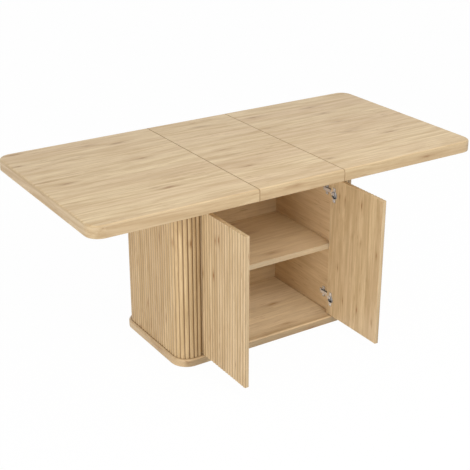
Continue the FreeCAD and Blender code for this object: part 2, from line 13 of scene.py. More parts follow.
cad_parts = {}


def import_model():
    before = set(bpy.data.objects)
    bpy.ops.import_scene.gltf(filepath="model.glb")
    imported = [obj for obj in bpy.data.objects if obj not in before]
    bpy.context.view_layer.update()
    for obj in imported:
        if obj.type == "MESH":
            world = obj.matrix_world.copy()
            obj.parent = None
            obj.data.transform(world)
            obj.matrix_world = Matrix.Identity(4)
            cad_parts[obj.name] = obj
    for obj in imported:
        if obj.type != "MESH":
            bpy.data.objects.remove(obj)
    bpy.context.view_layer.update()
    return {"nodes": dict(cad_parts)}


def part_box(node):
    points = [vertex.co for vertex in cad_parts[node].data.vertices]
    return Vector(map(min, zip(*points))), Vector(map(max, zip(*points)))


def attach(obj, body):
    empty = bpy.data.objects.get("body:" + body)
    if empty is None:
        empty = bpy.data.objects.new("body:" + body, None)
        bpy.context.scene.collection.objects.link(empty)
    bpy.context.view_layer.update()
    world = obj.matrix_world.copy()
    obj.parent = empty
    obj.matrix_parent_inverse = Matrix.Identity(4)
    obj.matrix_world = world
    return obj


log = logging.getLogger("table")

Colour = tuple[float, float, float, float]
Point = tuple[float, float, float]
Span = tuple[float, float]
Socket = bpy.types.NodeSocket

MM = 0.001


class Grain(Enum):
    """Order of the axes along the grain, across it and through the board."""

    ALONG = "XYZ"
    ACROSS = "YXZ"
    UPRIGHT = "ZXY"


class Slot(Enum):
    """Names of material slots of the record."""

    SCREW = "pin_steel"


class Effect(Enum):
    """Shader node groups that several finishes share."""

    OAK = "Oak figure"
    EDGES = "Worn edges"
    FLUTES = "Fluting depth"
    SCUFFS = "Scuffs"


@dataclass(frozen=True)
class Noise:
    """Noise with a scale of its own in each direction.

    Attributes:
        stretch: Scale in each direction.
        detail: Number of octaves.
        roughness: Weight of the finer octaves.
    """

    stretch: Point
    detail: float
    roughness: float = 0.5


@dataclass(frozen=True)
class Layer:
    """A noise and the span of its values over which it comes to show.

    Attributes:
        noise: The noise.
        span: Value where the layer starts to show, and where it shows fully.
    """

    noise: Noise
    span: Span


class Graph:
    """Adds and links the nodes of one shader tree.

    Attributes:
        mix_sockets: Places of the Mix node's two inputs and of its output, by kind of value.
    """

    mix_sockets: ClassVar[dict[str, tuple[int, int, int]]] = {"VECTOR": (4, 5, 1), "RGBA": (6, 7, 2)}

    def __init__(self, tree: bpy.types.NodeTree) -> None:
        """Start with an empty tree.

        Args:
            tree: The node tree to fill.
        """
        self.tree = tree
        tree.nodes.clear()

    def add(self, kind: str, **settings: object) -> bpy.types.Node:
        """Add a node.

        Args:
            kind: Blender's name of the node type.
            settings: Attributes to set on the node.

        Returns:
            The new node.
        """
        node = self.tree.nodes.new(kind)
        for name, value in settings.items():
            setattr(node, name, value)
        return node

    def feed(self, socket: Socket, value: object) -> None:
        """Give a socket a link or a plain value.

        Args:
            socket: The input to fill.
            value: An output socket, or a number, vector or colour.
        """
        if isinstance(value, Socket):
            self.tree.links.new(value, socket)
        else:
            socket.default_value = value

    def _fill(self, node: bpy.types.Node, values: tuple[object, ...]) -> bpy.types.Node:
        """Feed a node's first inputs in order.

        Args:
            node: The node.
            values: Its inputs, as sockets or plain values.

        Returns:
            The same node.
        """
        for socket, value in zip(node.inputs, values):
            self.feed(socket, value)
        return node

    def math(self, operation: str, *values: object) -> Socket:
        """Add a Math node.

        Args:
            operation: The Math node's operation.
            values: Its inputs, as sockets or numbers.

        Returns:
            The result socket.
        """
        return self._fill(self.add("ShaderNodeMath", operation=operation), values).outputs[0]

    def times(self, first: object, *others: object) -> Socket:
        """Multiply numbers.

        Args:
            first: The first number.
            others: The numbers that it is multiplied by.

        Returns:
            The product socket.
        """
        for other in others:
            first = self.math("MULTIPLY", first, other)
        return first

    def vector(self, operation: str, *values: object) -> Socket:
        """Add a Vector Math node.

        Args:
            operation: The Vector Math node's operation.
            values: Its inputs, as sockets or vectors.

        Returns:
            The vector socket.
        """
        return self._fill(self.add("ShaderNodeVectorMath", operation=operation), values).outputs[0]

    def parts(self, vector: object) -> tuple[Socket, ...]:
        """Split a vector.

        Args:
            vector: The vector to split.

        Returns:
            Its three numbers.
        """
        return tuple(self._fill(self.add("ShaderNodeSeparateXYZ"), (vector,)).outputs)

    def join(self, *values: object) -> Socket:
        """Join three numbers to a vector.

        Args:
            values: The numbers, as sockets or plain values.

        Returns:
            The vector socket.
        """
        return self._fill(self.add("ShaderNodeCombineXYZ"), values).outputs[0]

    def ramp(self, value: object, low: object, high: object, start: float = 0.0,
             end: float = 1.0) -> Socket:
        """Map a value smoothly from one span to another.

        Args:
            value: The value to map.
            low: Where the source span starts.
            high: Where the source span ends.
            start: Result at the span's start.
            end: Result at the span's end.

        Returns:
            The mapped socket.
        """
        node = self.add("ShaderNodeMapRange", interpolation_type="SMOOTHSTEP")
        return self._fill(node, (value, low, high, start, end)).outputs[0]

    def noise(self, place: Socket, noise: Noise) -> Socket:
        """Add a noise texture.

        Args:
            place: Where the noise is read.
            noise: Its scales and octaves.

        Returns:
            The noise value socket.
        """
        node = self.add("ShaderNodeTexNoise")
        self.feed(node.inputs["Vector"], self.vector("MULTIPLY", place, noise.stretch))
        node.inputs["Scale"].default_value = 1.0
        node.inputs["Detail"].default_value = noise.detail
        node.inputs["Roughness"].default_value = noise.roughness
        return node.outputs["Fac"]

    def layer(self, place: Socket, layer: Layer, least: float = 0.0) -> Socket:
        """Add a noise and map the span of it that shows.

        Args:
            place: Where the noise is read.
            layer: The noise and its span.
            least: Result where the layer doesn't show.

        Returns:
            The layer's strength.
        """
        return self.ramp(self.noise(place, layer.noise), *layer.span, least, 1.0)

    def mix(self, factor: object, first: object, second: object, blend: str = "MIX",
            kind: str = "RGBA") -> Socket:
        """Mix two colours or vectors.

        Args:
            factor: The share of the second one.
            first: The first colour or vector.
            second: The second one.
            blend: How colours blend.
            kind: RGBA for colours, VECTOR for vectors.

        Returns:
            The mixed socket.
        """
        node = self.add("ShaderNodeMix", data_type=kind, blend_type=blend)
        before, after, result = self.mix_sockets[kind]
        for place, value in ((0, factor), (before, first), (after, second)):
            self.feed(node.inputs[place], value)
        return node.outputs[result]

    def shade(self, colour: object, amount: object) -> Socket:
        """Multiply a colour.

        Args:
            colour: The colour.
            amount: A brightness, or a brightness by channel.

        Returns:
            The shaded colour socket.
        """
        return self.mix(1.0, colour, amount, "MULTIPLY")

    def group(self, effect: Effect, values: dict[str, object]) -> bpy.types.bpy_prop_collection:
        """Place a shared effect.

        Args:
            effect: The effect.
            values: Its inputs by name.

        Returns:
            The group's outputs.
        """
        node = self.add("ShaderNodeGroup", node_tree=Effects.get(effect))
        for name, value in values.items():
            self.feed(node.inputs[name], value)
        return node.outputs

    def bump(self, shader: bpy.types.Node, height: Socket, strength: float, distance: float) -> None:
        """Give a shader a bump.

        Args:
            shader: The shader node.
            height: Height of the surface.
            strength: Strength of the bump.
            distance: Depth that a height of one stands for.
        """
        node = self.add("ShaderNodeBump")
        node.inputs["Strength"].default_value = strength
        node.inputs["Distance"].default_value = distance
        self.feed(node.inputs["Height"], height)
        self.feed(shader.inputs["Normal"], node.outputs[0])


# Layers of the oak's figure; Dash and Patch together make the flecks
LAYERS = {
    "Band": Layer(Noise((1.0, 8.0, 8.0), 2.0), (0.34, 0.66)),
    "Streak": Layer(Noise((3.0, 46.0, 46.0), 4.0, 0.66), (0.38, 0.70)),
    "Fibre": Layer(Noise((3.2, 150.0, 150.0), 3.0, 0.55), (0.36, 0.68)),
    "Pore": Layer(Noise((34.0, 760.0, 760.0), 2.0), (0.54, 0.70)),
    "Smoke": Layer(Noise((4.0, 27.0, 27.0), 4.0, 0.64), (0.53, 0.72)),
    "Dash": Layer(Noise((14.0, 130.0, 130.0), 2.0), (0.60, 0.73)),
    "Patch": Layer(Noise((2.4, 11.0, 11.0), 1.0), (0.44, 0.64)),
}

# Middle of the values that a noise takes
NOISE_MIDDLE = 0.5


@dataclass(frozen=True)
class Figure:
    """How the oak's grain lines lie. Scales run along the grain, across it and through the board.

    Attributes:
        seed_steps: How far one unit of the seed moves the figure.
        sway: The slow waves of the grain.
        sway_reach: How far the waves move the grain sideways.
        ring: The field whose contours are the growth rings.
        ring_count: Turns of the ring pattern over the whole field.
        ring_span: Span of the rings' sine over which a ring comes to show.
        fibre_height: Height of the fibres, where pores and flecks have a depth of one.
    """

    seed_steps: Point = (1.7, 3.1, 5.3)
    sway: Noise = Noise((1.3, 2.5, 2.5), 2.0)
    sway_reach: float = 0.05
    ring: Noise = Noise((0.75, 5.0, 5.0), 2.0, 0.45)
    ring_count: float = 115.0
    ring_span: Span = (-0.3, 0.9)
    fibre_height: float = 0.4


@dataclass(frozen=True)
class Knots:
    """Form of the small knots. Distances are shares of a cell.

    Attributes:
        ragged: The noise that frays their outline.
        ragged_reach: How far it moves the outline.
        size_reach: How far the knots differ in radius.
        kept_step: Softness of the choice between a cell with a knot and one without.
        trail: Distances between which the soft trail fades.
        core: Distances between which the dark core fades.
        share: Strength of the trail, and of the core.
    """

    ragged: Noise = Noise((16.0, 150.0, 150.0), 3.0)
    ragged_reach: float = 0.30
    size_reach: float = 0.05
    kept_step: float = 0.08
    trail: Span = (0.12, 0.34)
    core: Span = (0.10, 0.19)
    share: float = 0.50


class Effects:
    """Builds each shared shader node group once.

    Attributes:
        wear: Where the arrises are worn by handling and carry the painted highlight.
        wear_least: Wear that is left where it hasn't.
        groove_end: Depths, counted in grooves, between which the grooves' mask ends in the board.
        cloud: The soft cloud of scuffs on metal.
        scratch: The fine scratches on metal.
    """

    wear: ClassVar[Layer] = Layer(Noise((24.0, 24.0, 24.0), 3.0, 0.6), (0.25, 0.65))
    wear_least: ClassVar[float] = 0.35
    groove_end: ClassVar[Span] = (1.3, 1.5)
    cloud: ClassVar[Noise] = Noise((1.0, 1.0, 1.0), 5.0, 0.6)
    scratch: ClassVar[Layer] = Layer(Noise((3.0, 60.0, 9.0), 1.0), (0.62, 0.75))
    _made: ClassVar[dict[Effect, bpy.types.NodeTree]] = {}

    @classmethod
    def get(cls, effect: Effect) -> bpy.types.NodeTree:
        """Return a shared effect, and build it the first time.

        Args:
            effect: Which effect.

        Returns:
            The effect's node group.
        """
        if effect not in cls._made:
            builders = {Effect.OAK: cls._oak, Effect.EDGES: cls._edges, Effect.FLUTES: cls._flutes,
                        Effect.SCUFFS: cls._scuffs}
            cls._made[effect] = builders[effect]()
        return cls._made[effect]

    @staticmethod
    def _start(effect: Effect, vectors: tuple[str, ...], numbers: tuple[str, ...],
               results: tuple[str, ...]) -> tuple[Graph, dict[str, Socket], dict[str, Socket]]:
        """Make an empty group with named sockets.

        Args:
            effect: The effect, whose value names the group.
            vectors: Names of the inputs that are vectors.
            numbers: Names of the inputs that are numbers.
            results: Names of the outputs, all of them numbers.

        Returns:
            The group's graph, its inputs and its outputs by name.
        """
        tree = bpy.data.node_groups.new(effect.value, "ShaderNodeTree")
        graph = Graph(tree)
        for names, side, kind in ((vectors, "INPUT", "NodeSocketVector"),
                                  (numbers, "INPUT", "NodeSocketFloat"),
                                  (results, "OUTPUT", "NodeSocketFloat")):
            for name in names:
                tree.interface.new_socket(name=name, in_out=side, socket_type=kind)
        source = graph.add("NodeGroupInput").outputs
        target = graph.add("NodeGroupOutput").inputs
        given = {name: source[name] for name in (*vectors, *numbers)}
        return graph, given, {name: target[name] for name in results}

    @classmethod
    def _oak(cls) -> bpy.types.NodeTree:
        """Build the oak figure, from broad bands down to pores, with flecks and small knots.

        Returns:
            The node group.
        """
        results = ("Band", "Ring", "Streak", "Fibre", "Pore", "Smoke", "Fleck", "Knot", "Height")
        graph, given, made = cls._start(Effect.OAK, ("Place", "Knot Cells"), ("Seed", "Knot Free"), results)
        form = Figure()
        offset = graph.join(*(graph.times(given["Seed"], step) for step in form.seed_steps))
        place = graph.vector("ADD", given["Place"], offset)
        sway = graph.math("SUBTRACT", graph.noise(place, form.sway), NOISE_MIDDLE)
        place = graph.vector("ADD", place, graph.join(0.0, graph.times(sway, form.sway_reach), 0.0))
        shown = {name: graph.layer(place, layer) for name, layer in LAYERS.items()}
        turns = graph.times(graph.noise(place, form.ring), form.ring_count)
        shown["Ring"] = graph.ramp(graph.math("SINE", turns), *form.ring_span)
        shown["Fleck"] = graph.times(shown.pop("Dash"), shown.pop("Patch"))
        shown["Knot"] = cls._knots(graph, place, given["Knot Cells"], given["Knot Free"])
        deep = graph.math("MAXIMUM", shown["Fleck"], shown["Pore"])
        shown["Height"] = graph.math("SUBTRACT", graph.times(shown["Fibre"], form.fibre_height), deep)
        for name, value in shown.items():
            graph.feed(made[name], value)
        return graph.tree

    @staticmethod
    def _knots(graph: Graph, place: Socket, count: Socket, free: Socket) -> Socket:
        """Scatter small knots, each with a soft trail along the grain.

        Args:
            graph: The group's graph.
            place: Place on the board.
            count: Cells a metre in which a knot may lie, by direction.
            free: Share of the cells that stay free of knots.

        Returns:
            The mask of the knots.
        """
        form = Knots()
        along, across, through = graph.parts(place)
        flat = graph.join(along, graph.math("ADD", across, through), 0.0)
        cells = graph.add("ShaderNodeTexVoronoi", feature="F1", voronoi_dimensions="2D")
        graph.feed(cells.inputs["Vector"], graph.vector("MULTIPLY", flat, count))
        cells.inputs["Scale"].default_value = 1.0
        chance, size, _ = graph.parts(cells.outputs["Color"])
        kept = graph.ramp(chance, free, graph.math("ADD", free, form.kept_step))
        ragged = graph.times(graph.noise(place, form.ragged), form.ragged_reach)
        far = graph.math("ADD", cells.outputs["Distance"], ragged)
        far = graph.math("SUBTRACT", far, graph.times(size, form.size_reach))
        trail, core = (graph.ramp(far, *span, form.share, 0.0) for span in (form.trail, form.core))
        return graph.times(graph.math("ADD", trail, core), kept)

    @classmethod
    def _edges(cls) -> bpy.types.NodeTree:
        """Build the mask of a board's arrises, for wear and painted highlight, broken up as handling wears
        them.

        Returns:
            The node group.
        """
        graph, given, made = cls._start(Effect.EDGES, ("Place", "Middle", "Half"), ("Width",), ("Edge",))
        away = graph.vector("ABSOLUTE", graph.vector("SUBTRACT", given["Place"], given["Middle"]))
        x, y, z = graph.parts(graph.vector("SUBTRACT", given["Half"], away))
        low, high = graph.math("MINIMUM", x, y), graph.math("MAXIMUM", x, y)
        second = graph.math("MAXIMUM", low, graph.math("MINIMUM", high, z))
        near = graph.math("SUBTRACT", 1.0, graph.math("DIVIDE", second, given["Width"]))
        worn = graph.layer(given["Place"], cls.wear, cls.wear_least)
        graph.feed(made["Edge"], graph.times(graph.ramp(near, 0.0, 1.0), worn))
        return graph.tree

    @classmethod
    def _flutes(cls) -> bpy.types.NodeTree:
        """Build the masks of the grooves inside a rounded outline, and of the outline itself.

        Returns:
            The node group.
        """
        sizes = ("Half X", "Half Y", "Radius", "Depth", "Start")
        graph, given, made = cls._start(Effect.FLUTES, ("Place",), sizes, ("Groove", "Near Outline"))
        x, y, _ = graph.parts(graph.vector("ABSOLUTE", given["Place"]))
        out_x = graph.math("ADD", graph.math("SUBTRACT", x, given["Half X"]), given["Radius"])
        out_y = graph.math("ADD", graph.math("SUBTRACT", y, given["Half Y"]), given["Radius"])
        corner = graph.join(graph.math("MAXIMUM", out_x, 0.0), graph.math("MAXIMUM", out_y, 0.0), 0.0)
        length = graph.add("ShaderNodeVectorMath", operation="LENGTH")
        graph.feed(length.inputs[0], corner)
        inside = graph.math("MINIMUM", graph.math("MAXIMUM", out_x, out_y), 0.0)
        past = graph.math("SUBTRACT", graph.math("ADD", length.outputs["Value"], inside), given["Radius"])
        depth = graph.math("DIVIDE", graph.times(past, -1.0), given["Depth"])
        within = graph.ramp(depth, *cls.groove_end, 1.0, 0.0)
        graph.feed(made["Groove"], graph.times(graph.ramp(depth, given["Start"], 1.0), within))
        graph.feed(made["Near Outline"], graph.ramp(graph.math("ABSOLUTE", depth), 0.0, 1.0, 1.0, 0.0))
        return graph.tree

    @classmethod
    def _scuffs(cls) -> bpy.types.NodeTree:
        """Build light scuffing for metal: a soft cloud and fine scratches.

        Returns:
            The node group.
        """
        graph, given, made = cls._start(Effect.SCUFFS, ("Place",), ("Scale",), ("Cloud", "Scratch"))
        scaled = graph.add("ShaderNodeVectorMath", operation="SCALE")
        graph.feed(scaled.inputs[0], given["Place"])
        graph.feed(scaled.inputs["Scale"], given["Scale"])
        graph.feed(made["Cloud"], graph.noise(scaled.outputs[0], cls.cloud))
        graph.feed(made["Scratch"], graph.layer(scaled.outputs[0], cls.scratch))
        return graph.tree


class Spot:
    """Place and facing of the shaded point, in the table's axes at rest, as sockets."""

    def __init__(self, graph: Graph) -> None:
        """Read them for one material.

        Args:
            graph: The material's graph.
        """
        coordinates = graph.add("ShaderNodeTexCoord").outputs
        self.place = coordinates["Object"]
        self.x, self.y, self.z = graph.parts(self.place)
        facing = graph.parts(coordinates["Normal"])
        self.upward = facing[2]
        self.facing_x, self.facing_y, self.facing_z = (graph.math("ABSOLUTE", part) for part in facing)


def new_material(name: str) -> tuple[bpy.types.Material, Graph, bpy.types.Node]:
    """Make a material with a Principled shader.

    Args:
        name: The material's name.

    Returns:
        The material, its graph and its shader node.
    """
    material = bpy.data.materials.new(name)
    material.use_nodes = True
    graph = Graph(material.node_tree)
    shader = graph.add("ShaderNodeBsdfPrincipled")
    output = graph.add("ShaderNodeOutputMaterial")
    graph.feed(output.inputs["Surface"], shader.outputs[0])
    return material, graph, shader


# How far upwards a level face looks at least
LEVEL = 0.8


@dataclass(frozen=True)
class Seam:
    """Cut joints between the top's boards, the same distance from the middle at both ends of the leaf.

    Attributes:
        middle: Distance of the joints from the table's middle.
        bevel: How far from a joint its rounded arris may lie.
        bevel_turn: How far a face looks sideways where the arris starts to darken and is fully dark.
        line: Distances between which the dark line along a joint fades.
        line_share: Darkness of that line.
        cut_turn: How far a face looks sideways where the arris ends and where the cut face starts.
        share: How strongly the arris darkens.
        cut_share: How strongly the cut face darkens.
    """

    middle: float
    bevel: float = 5.0 * MM
    bevel_turn: Span = (0.45, 0.65)
    line: Span = (1.2 * MM, 2.6 * MM)
    line_share: float = 0.55
    cut_turn: Span = (0.80, 0.95)
    share: float = 0.80
    cut_share: float = 0.30

    def mask(self, graph: Graph, spot: Spot) -> Socket:
        """Return the mask of the joints.

        Args:
            graph: The material's graph.
            spot: The shaded point.

        Returns:
            The mask socket.
        """
        off = graph.math("SUBTRACT", graph.math("ABSOLUTE", spot.x), self.middle)
        off = graph.math("ABSOLUTE", off)
        arris = graph.ramp(spot.facing_x, *self.bevel_turn)
        arris = graph.times(arris, graph.math("LESS_THAN", off, self.bevel))
        cut = graph.math("MAXIMUM", arris, graph.ramp(off, *self.line, self.line_share, 0.0))
        return graph.times(cut, graph.ramp(spot.facing_x, *self.cut_turn, self.share, self.cut_share))


@dataclass(frozen=True)
class Outline:
    """Rounded rectangle round the table's middle that the crests of the flutes touch.

    Attributes:
        half_x: Half its length.
        half_y: Half its width.
        radius: Radius of its corners.
    """

    half_x: float
    half_y: float
    radius: float

    def measure(self, graph: Graph, spot: Spot, depth: float,
                start: float) -> bpy.types.bpy_prop_collection:
        """Measure how deep the shaded point lies inside the outline.

        Args:
            graph: The material's graph.
            spot: The shaded point.
            depth: Depth of the grooves, or reach of a line along the outline.
            start: Share of that depth at which the grooves' mask starts.

        Returns:
            The outputs of the fluting effect.
        """
        return graph.group(Effect.FLUTES, {
            "Place": spot.place, "Half X": self.half_x, "Half Y": self.half_y, "Radius": self.radius,
            "Depth": depth, "Start": start})


@dataclass(frozen=True)
class Fluting:
    """Grooves of a fluted board, with a painted shade that makes them darker than its crests.

    Attributes:
        outline: Outline that the crests touch.
        start: Share of the depth at which the painted shade in a groove starts.
        depth: Depth of the grooves.
        front_turn: How far a face looks forwards where the second share starts and is reached.
        share: How strongly the painted shade darkens grooves that look sideways at rest.
        front_share: How strongly the painted shade darkens grooves that look forwards or back at rest.
    """

    outline: Outline
    start: float
    depth: float = 2.2 * MM
    front_turn: Span = (0.5, 0.9)
    share: float = 0.45
    front_share: float = 0.95

    def mask(self, graph: Graph, spot: Spot) -> Socket:
        """Return the mask of the painted shade in the grooves.

        Args:
            graph: The material's graph.
            spot: The shaded point.

        Returns:
            The mask socket.
        """
        groove = self.outline.measure(graph, spot, self.depth, self.start)["Groove"]
        share = graph.ramp(spot.facing_y, *self.front_turn, self.share, self.front_share)
        return graph.times(groove, share)


@dataclass(frozen=True)
class FootShadowLine:
    """Painted shadow line on the plinth where the fluted shells and the back stand on it.

    Attributes:
        outline: Outline of the shells.
        doorway: Half width of the front's stretch under the doors, which has no line.
        reach: How far the line fades to each side of the outline.
        share: Darkness of the line.
    """

    outline: Outline
    doorway: float
    reach: float = 4.2 * MM
    share: float = 0.75

    def mask(self, graph: Graph, spot: Spot) -> Socket:
        """Return the mask of the painted shadow line.

        Args:
            graph: The material's graph.
            spot: The shaded point.

        Returns:
            The mask socket.
        """
        joint = self.outline.measure(graph, spot, self.reach, 0.0)["Near Outline"]
        beside = graph.math("GREATER_THAN", graph.math("ABSOLUTE", spot.x), self.doorway)
        beside = graph.math("MAXIMUM", beside, graph.math("GREATER_THAN", spot.y, 0.0))
        # Painted shadow along the shells' foot on the plinth's level top.
        line = graph.times(joint, graph.math("GREATER_THAN", spot.upward, LEVEL))
        return graph.times(line, beside, self.share)


@dataclass(frozen=True)
class CabinetFloorPaintedLight:
    """The part of the plinth's top that is the floor of the cabinet, with painted light that makes it
    paler.

    Attributes:
        half: Half its width.
        depth: Y where the painted light starts and where it reaches its full strength.
        gain: How much paler the painted light makes it, by channel.
    """

    half: float
    depth: Span
    gain: Colour = (1.38, 1.50, 1.68, 1.0)

    def mask(self, graph: Graph, spot: Spot) -> Socket:
        """Return the mask of the painted light on the floor.

        Args:
            graph: The material's graph.
            spot: The shaded point.

        Returns:
            The mask socket.
        """
        between = graph.math("LESS_THAN", graph.math("ABSOLUTE", spot.x), self.half)
        level = graph.times(between, graph.math("GREATER_THAN", spot.upward, LEVEL))
        return graph.times(level, graph.ramp(spot.y, *self.depth))


@dataclass(frozen=True)
class OakTone:
    """Colours of oak laminate for some of the boards.

    Attributes:
        pale: Colour of the pale wood.
        tan: Colour of the rings, streaks, fibres, pores and smoky patches.
        rosy: Slightly pinker wood of the broad bands.
        brown: Colour of flecks and knots.
        groove: Colour of joints, and of the painted shade in grooves and at the foot.
        figure: Strength of the figure, apart from flecks and knots.
        knots: Strength of the knots.
        knot_cells: Cells a metre in which a knot may lie, by direction.
        knot_free: Share of the cells that stay free of knots.
    """

    pale: Colour
    tan: Colour
    rosy: Colour
    brown: Colour = (0.300, 0.145, 0.050, 1.0)
    groove: Colour = (0.130, 0.066, 0.024, 1.0)
    figure: float = 1.0
    knots: float = 1.0
    knot_cells: Point = (2.7, 11.0, 1.0)
    knot_free: float = 0.50


TOP_TONE = OakTone(
    pale=(0.800, 0.625, 0.375, 1.0), tan=(0.515, 0.346, 0.176, 1.0), rosy=(0.700, 0.508, 0.306, 1.0),
    groove=(0.245, 0.140, 0.058, 1.0), figure=1.3)
# Side, door, inside, shelf and foot tones differ from the top's partly as painted shade and light.
SIDE_TONE = OakTone(
    pale=(0.715, 0.526, 0.295, 1.0), tan=(0.430, 0.282, 0.130, 1.0), rosy=(0.612, 0.438, 0.248, 1.0),
    figure=1.4, knots=1.28, knot_cells=(6.5, 27.0, 1.0), knot_free=0.58)
DOOR_TONE = OakTone(
    pale=(0.770, 0.592, 0.355, 1.0), tan=(0.468, 0.320, 0.162, 1.0), rosy=(0.668, 0.496, 0.302, 1.0),
    figure=1.4, knots=1.28, knot_cells=(6.5, 27.0, 1.0), knot_free=0.68)
INSIDE_TONE = OakTone(
    pale=(0.805, 0.610, 0.368, 1.0), tan=(0.560, 0.384, 0.200, 1.0), rosy=(0.715, 0.520, 0.320, 1.0))
SHELF_TONE = OakTone(
    pale=(0.820, 0.655, 0.418, 1.0), tan=(0.600, 0.432, 0.247, 1.0), rosy=(0.750, 0.572, 0.370, 1.0))
FOOT_TONE = OakTone(
    pale=(0.665, 0.500, 0.298, 1.0), tan=(0.440, 0.302, 0.160, 1.0), rosy=(0.575, 0.420, 0.255, 1.0))
CORE_TONE = OakTone(
    pale=(0.52, 0.38, 0.23, 1.0), tan=(0.44, 0.31, 0.18, 1.0), rosy=(0.47, 0.34, 0.21, 1.0),
    figure=0.7, knots=0.0)

# Share of each layer of the figure in the colour
MIX = {"Band": 0.55, "Ring": 0.10, "Streak": 0.48, "Fibre": 0.34, "Pore": 0.24, "Smoke": 0.46}
FLECK_SHARE = 0.46
KNOT_SHARE = 0.78


@dataclass(frozen=True)
class OakLaminate:
    """Light oak laminate with a satin face.

    Attributes:
        name: The material's name.
        grain: Direction of the grain on the faces.
        seed: Moves the figure, so that boards differ.
        box: Lowest and highest corner of the board.
        tone: Colours of the wood.
        roughness: Roughness of the face.
        banded: Whether upright faces are edge band, with the grain lying flat.
        band_shade: Brightness of the edge band's painted shade, where the board's faces have one.
        cut: Painted shade in the grooves, darker joints, or a painted shadow line at the foot; or nothing.
        floor: The board's stretch inside the cabinet, which gets painted light, or nothing.
        front_shade: Brightness of the painted shade on the faces that look forwards or back.
        front_from: How far a face must look that way before the painted shade starts.
        front_full: How far it must look that way for the whole painted shade.
        edge_wear: Paleness of the arrises: wear from handling and a painted highlight.
        wear_width: Width of the worn arrises.
        wear_rough: How much rougher worn arrises are.
        streak_rough: Change of the roughness from the clear wood to the streaks.
        specular: Level of the laminate's reflection.
        bump_strength: Strength of the grain's bump.
        bump_depth: Depth of the grain.
        band_turn: How far an edge looks up or down where the band's grain starts and stops to fade.
        shade_turn: How far an edge looks up or down where the band's painted shade starts and stops to
            fade.
        band_place: Place through the board where the band's figure is read, away from the faces' own.
    """

    name: str
    grain: Grain
    seed: float
    box: tuple[Point, Point]
    tone: OakTone = SIDE_TONE
    roughness: float = 0.42
    banded: bool = False
    band_shade: float = 1.0
    cut: Seam | Fluting | FootShadowLine | None = None
    floor: CabinetFloorPaintedLight | None = None
    front_shade: float = 1.0
    front_from: float = 0.70
    front_full: ClassVar[float] = 0.99
    edge_wear: float = 0.34
    wear_width: ClassVar[float] = 4.5 * MM
    wear_rough: ClassVar[float] = 0.10
    streak_rough: ClassVar[Span] = (-0.04, 0.06)
    specular: ClassVar[float] = 0.32
    bump_strength: ClassVar[float] = 0.14
    bump_depth: ClassVar[float] = 0.4 * MM
    band_turn: ClassVar[Span] = (0.45, 0.75)
    shade_turn: ClassVar[Span] = (0.60, 0.99)
    band_place: ClassVar[float] = 3.0

    def _figure_place(self, graph: Graph, spot: Spot) -> Socket:
        """Return the place on the board, with X along the grain.

        Args:
            graph: The material's graph.
            spot: The shaded point.

        Returns:
            The place socket.
        """
        axes = {"X": spot.x, "Y": spot.y, "Z": spot.z}
        face = graph.join(*(axes[letter] for letter in self.grain.value))
        if not self.banded:
            return face
        run = graph.math("ADD", spot.x, graph.times(spot.y, spot.facing_x))
        edge = graph.join(run, spot.z, self.band_place)
        return graph.mix(graph.ramp(spot.facing_z, *self.band_turn, 1.0, 0.0), face, edge, kind="VECTOR")

    def _wood(self, graph: Graph, oak: bpy.types.bpy_prop_collection, edge: Socket) -> Socket:
        """Mix the wood's colour from its figure, its wear and the painted highlight on its arrises.

        Args:
            graph: The material's graph.
            oak: Outputs of the oak figure.
            edge: Mask of the worn arrises.

        Returns:
            The colour socket.
        """
        tone = self.tone
        colour = tone.pale
        for layer, share in MIX.items():
            darker = tone.rosy if layer == "Band" else tone.tan
            colour = graph.mix(graph.times(oak[layer], share * tone.figure), colour, darker)
        colour = graph.mix(graph.times(oak["Fleck"], FLECK_SHARE), colour, tone.brown)
        colour = graph.mix(graph.times(oak["Knot"], KNOT_SHARE * tone.knots), colour, tone.brown)
        # The pale arrises are partly wear, partly a painted highlight.
        return graph.mix(graph.times(edge, self.edge_wear), colour, tone.pale)

    def _shaded(self, graph: Graph, spot: Spot, colour: Socket) -> Socket:
        """Add painted shade by facing, in grooves and at the foot, painted light on the floor, and dark
        joints.

        Args:
            graph: The material's graph.
            spot: The shaded point.
            colour: Colour of the wood.

        Returns:
            The colour socket.
        """
        # Painted shade: the upright edge band is darker.
        if self.banded:
            colour = graph.shade(colour, graph.ramp(spot.facing_z, *self.shade_turn, self.band_shade, 1.0))
        # Painted shade: faces that look forwards or back are darker.
        if self.front_shade != 1.0:
            turn = (self.front_from, self.front_full)
            colour = graph.shade(colour, graph.ramp(spot.facing_y, *turn, 1.0, self.front_shade))
        # Painted light: the cabinet's floor is paler towards the inside.
        if self.floor is not None:
            paler = graph.shade(colour, self.floor.gain)
            colour = graph.mix(self.floor.mask(graph, spot), colour, paler)
        # Painted shade in grooves and painted shadow line at the foot; joints are darker.
        if self.cut is not None:
            colour = graph.mix(self.cut.mask(graph, spot), colour, self.tone.groove)
        return colour

    def material(self) -> bpy.types.Material:
        """Build the material.

        Returns:
            The finished material.
        """
        material, graph, shader = new_material(self.name)
        spot = Spot(graph)
        oak = graph.group(Effect.OAK, {
            "Place": self._figure_place(graph, spot), "Seed": self.seed,
            "Knot Cells": self.tone.knot_cells, "Knot Free": self.tone.knot_free})
        low, high = Vector(self.box[0]), Vector(self.box[1])
        edge = graph.group(Effect.EDGES, {
            "Place": spot.place, "Middle": (low + high) / 2, "Half": (high - low) / 2,
            "Width": self.wear_width})["Edge"]
        wood = self._wood(graph, oak, edge)
        graph.feed(shader.inputs["Base Color"], self._shaded(graph, spot, wood))
        ends = (self.roughness + change for change in self.streak_rough)
        rough = graph.ramp(oak["Streak"], 0.0, 1.0, *ends)
        rough = graph.math("ADD", rough, graph.times(edge, self.wear_rough))
        graph.feed(shader.inputs["Roughness"], rough)
        shader.inputs["Specular IOR Level"].default_value = self.specular
        graph.bump(shader, oak["Height"], self.bump_strength, self.bump_depth)
        return material


